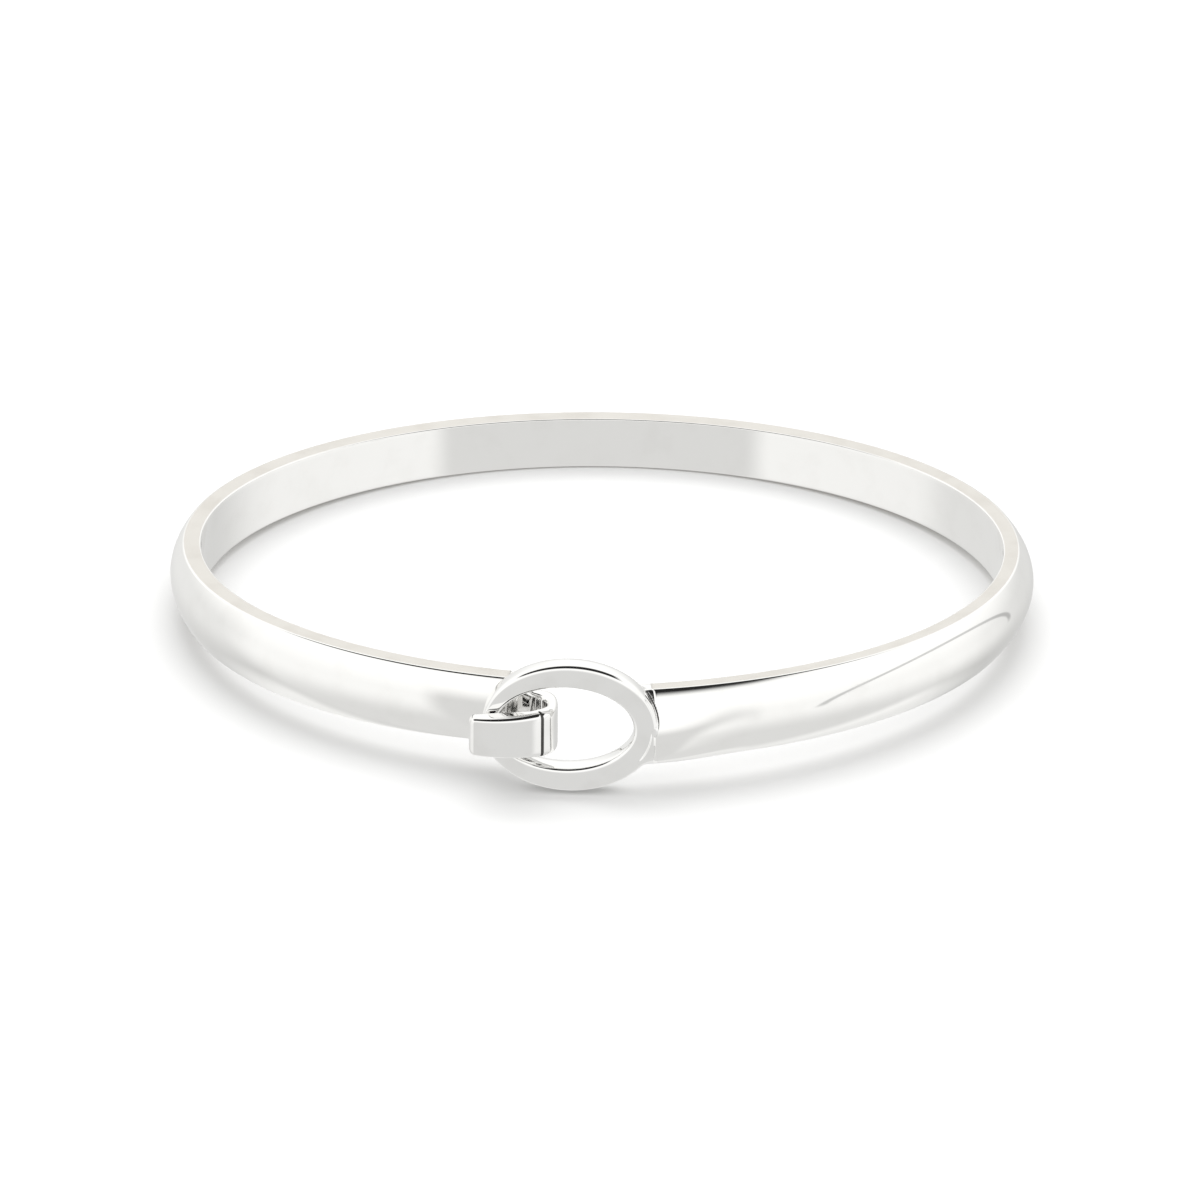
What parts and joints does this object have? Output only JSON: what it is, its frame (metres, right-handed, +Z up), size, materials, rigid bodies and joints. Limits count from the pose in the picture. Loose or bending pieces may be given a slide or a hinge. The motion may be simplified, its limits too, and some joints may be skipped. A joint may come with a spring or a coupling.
{
  "type": "bangle bracelet",
  "caption": "Oval silver bangle bracelet: a sprung, domed band that closes at the front with a strap hook through an oval eye.",
  "frame": {"origin": "middle of the footprint, on the surface that the bangle lies on", "axes": "+Z up, +Y from the clasp towards the back of the band, +X to the right as seen from the clasp. The band's own axis leans back from +Z by 3.55 degrees, because the bangle lies on the eye's lower rim and on the back of the band"},
  "size_m": [0.0646, 0.0552, 0.0103],
  "materials": {
    "band_silver": "polished sterling silver, with satin flat edges",
    "clasp_silver": "bright polished sterling silver",
    "solder_silver": "silver solder, filed flush and polished"
  },
  "bodies": {
    "hook_side": {"band_hook_half": "band_silver", "hook_solder": "solder_silver", "hook": "clasp_silver"},
    "eye_side": {"band_eye_half": "band_silver", "eye_solder": "solder_silver", "eye": "clasp_silver"}
  },
  "joints": [
    {"name": "band_spring", "type": "hinge", "parent": "hook_side", "child": "eye_side", "pos_m": [-0.00041, 0.02647, 0.00197], "axis": [0, 0.0619, 0.9981], "range_deg": [-5.2, 2.2], "stiffness_Nm_per_rad": 3}
  ]
}
